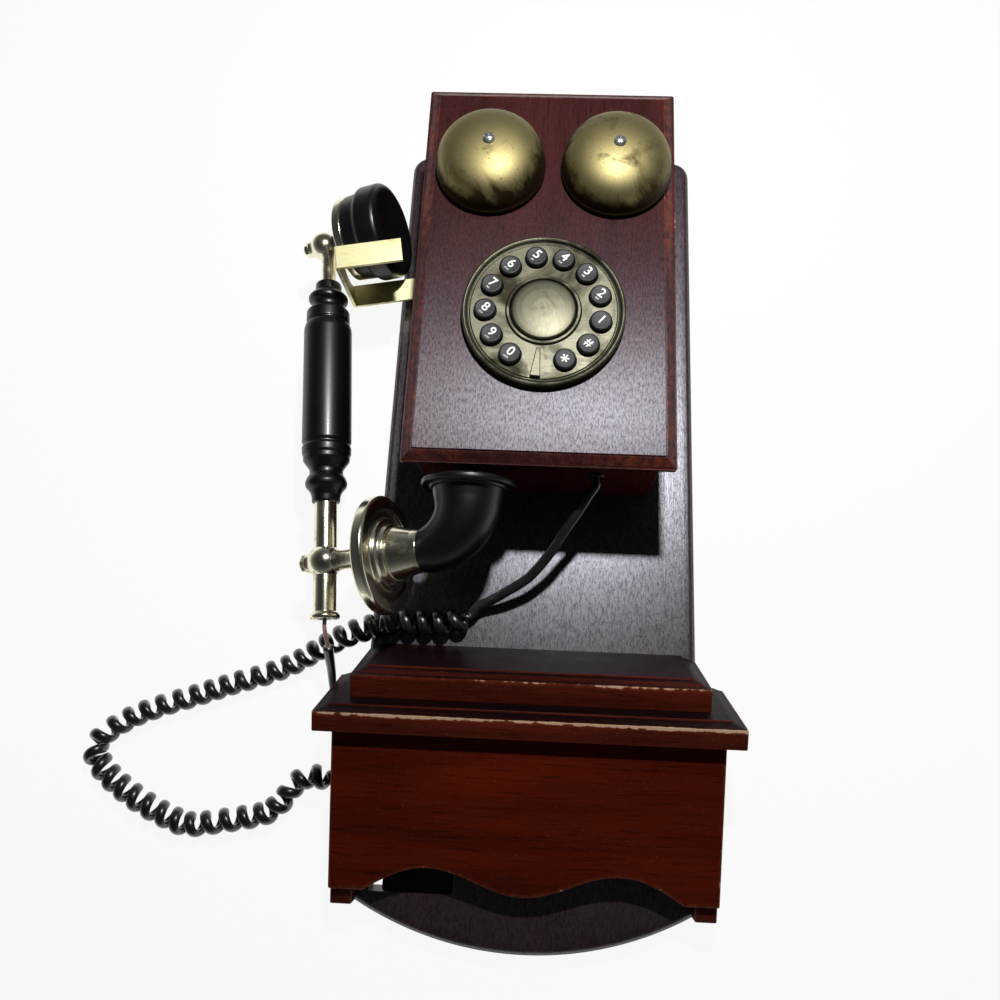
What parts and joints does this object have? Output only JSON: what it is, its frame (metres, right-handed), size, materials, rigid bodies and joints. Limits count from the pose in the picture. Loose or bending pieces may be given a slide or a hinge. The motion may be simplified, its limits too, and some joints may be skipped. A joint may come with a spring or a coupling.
{
  "type": "wall telephone",
  "caption": "Wooden wall telephone with two brass gongs, a push-button dial, a handset with a speaking horn on a sprung hook, and a sloping desk box.",
  "frame": {"origin": "on the back of the backboard, on the centre line, level with the top face of the case", "axes": "+X right, +Y up the telephone as it hangs, +Z out of its front, away from the wall"},
  "size_m": [0.3852, 0.522, 0.1257],
  "materials": {
    "red_wood": "satin",
    "dark_wood": "satin",
    "bright_brass": "polished",
    "old_brass": "aged, satin",
    "key_plastic": "gloss",
    "handset_brass": "polished, aged",
    "strap_brass": "polished",
    "black_gloss": "gloss",
    "capsule_metal": "satin",
    "circuit_board": "matt",
    "rubber_grey": "matt",
    "jack_plastic": "matt",
    "wire_sleeve": "satin",
    "cord_black": "gloss"
  },
  "bodies": {
    "cabinet": {"backboard": "dark_wood", "case_left_side": "dark_wood", "case_right_side": "dark_wood", "case_top": "dark_wood", "case_bottom": "dark_wood", "front_panel": "red_wood", "desk_slab": "dark_wood", "desk_raised_panel": "dark_wood", "desk_left_cheek": "dark_wood", "desk_right_cheek": "dark_wood", "desk_apron": "red_wood", "line_jack": "jack_plastic", "gong_left": "old_brass", "gong_right": "old_brass", "gong_post_left": "bright_brass", "gong_post_right": "bright_brass", "gong_screw_left": "bright_brass", "gong_screw_right": "bright_brass", "dial_plate": "old_brass", "dial_centre_cap": "old_brass", "finger_stop": "old_brass", "keypad_mat": "rubber_grey", "keypad_board": "circuit_board", "main_board": "circuit_board", "hook_bracket": "strap_brass", "hook_pivot_pin": "strap_brass", "cord_grommet": "rubber_grey", "handset_wire": "wire_sleeve", "cord_boot": "cord_black", "cord_upper_tail": "cord_black", "cord_coil": "cord_black", "cord_lower_tail": "cord_black"},
    "handset": {"handset_tube": "handset_brass", "handset_grip": "black_gloss", "receiver_clamp": "handset_brass", "receiver_nut": "handset_brass", "receiver_shell": "handset_brass", "receiver_cap": "black_gloss", "receiver_capsule": "capsule_metal", "transmitter_clamp": "handset_brass", "transmitter_nut": "handset_brass", "transmitter_disc": "handset_brass", "transmitter_neck": "handset_brass", "microphone_capsule": "capsule_metal", "mouthpiece_horn": "black_gloss", "horn_rim": "black_gloss", "handset_bush": "rubber_grey"},
    "hook": {"hook_strap": "strap_brass"},
    "key_1": {"key_1": "key_plastic"},
    "key_2": {"key_2": "key_plastic"},
    "key_3": {"key_3": "key_plastic"},
    "key_4": {"key_4": "key_plastic"},
    "key_5": {"key_5": "key_plastic"},
    "key_6": {"key_6": "key_plastic"},
    "key_7": {"key_7": "key_plastic"},
    "key_8": {"key_8": "key_plastic"},
    "key_9": {"key_9": "key_plastic"},
    "key_0": {"key_0": "key_plastic"},
    "key_star": {"key_star": "key_plastic"},
    "key_hash": {"key_hash": "key_plastic"}
  },
  "joints": [
    {"name": "handset_lift", "type": "slide", "parent": "cabinet", "child": "handset", "axis": [0, 1, 0], "range_m": [0, 0.005]},
    {"name": "hook_pivot", "type": "hinge", "parent": "cabinet", "child": "hook", "pos_m": [-0.05205, -0.096, 0.0432], "axis": [0, 0, -1], "range_deg": [0, 4.1]},
    {"name": "key_1_press", "type": "slide", "parent": "cabinet", "child": "key_1", "axis": [0, 0, -1], "range_m": [0, 0.0015], "stiffness_N_per_m": 300, "springref_m": -0.001},
    {"name": "key_2_press", "type": "slide", "parent": "cabinet", "child": "key_2", "axis": [0, 0, -1], "range_m": [0, 0.0015], "stiffness_N_per_m": 300, "springref_m": -0.001},
    {"name": "key_3_press", "type": "slide", "parent": "cabinet", "child": "key_3", "axis": [0, 0, -1], "range_m": [0, 0.0015], "stiffness_N_per_m": 300, "springref_m": -0.001},
    {"name": "key_4_press", "type": "slide", "parent": "cabinet", "child": "key_4", "axis": [0, 0, -1], "range_m": [0, 0.0015], "stiffness_N_per_m": 300, "springref_m": -0.001},
    {"name": "key_5_press", "type": "slide", "parent": "cabinet", "child": "key_5", "axis": [0, 0, -1], "range_m": [0, 0.0015], "stiffness_N_per_m": 300, "springref_m": -0.001},
    {"name": "key_6_press", "type": "slide", "parent": "cabinet", "child": "key_6", "axis": [0, 0, -1], "range_m": [0, 0.0015], "stiffness_N_per_m": 300, "springref_m": -0.001},
    {"name": "key_7_press", "type": "slide", "parent": "cabinet", "child": "key_7", "axis": [0, 0, -1], "range_m": [0, 0.0015], "stiffness_N_per_m": 300, "springref_m": -0.001},
    {"name": "key_8_press", "type": "slide", "parent": "cabinet", "child": "key_8", "axis": [0, 0, -1], "range_m": [0, 0.0015], "stiffness_N_per_m": 300, "springref_m": -0.001},
    {"name": "key_9_press", "type": "slide", "parent": "cabinet", "child": "key_9", "axis": [0, 0, -1], "range_m": [0, 0.0015], "stiffness_N_per_m": 300, "springref_m": -0.001},
    {"name": "key_0_press", "type": "slide", "parent": "cabinet", "child": "key_0", "axis": [0, 0, -1], "range_m": [0, 0.0015], "stiffness_N_per_m": 300, "springref_m": -0.001},
    {"name": "key_star_press", "type": "slide", "parent": "cabinet", "child": "key_star", "axis": [0, 0, -1], "range_m": [0, 0.0015], "stiffness_N_per_m": 300, "springref_m": -0.001},
    {"name": "key_hash_press", "type": "slide", "parent": "cabinet", "child": "key_hash", "axis": [0, 0, -1], "range_m": [0, 0.0015], "stiffness_N_per_m": 300, "springref_m": -0.001}
  ],
  "couplings": [
    {"joint": "hook_pivot", "follows": "handset_lift", "rad_per_m": 13.963}
  ]
}
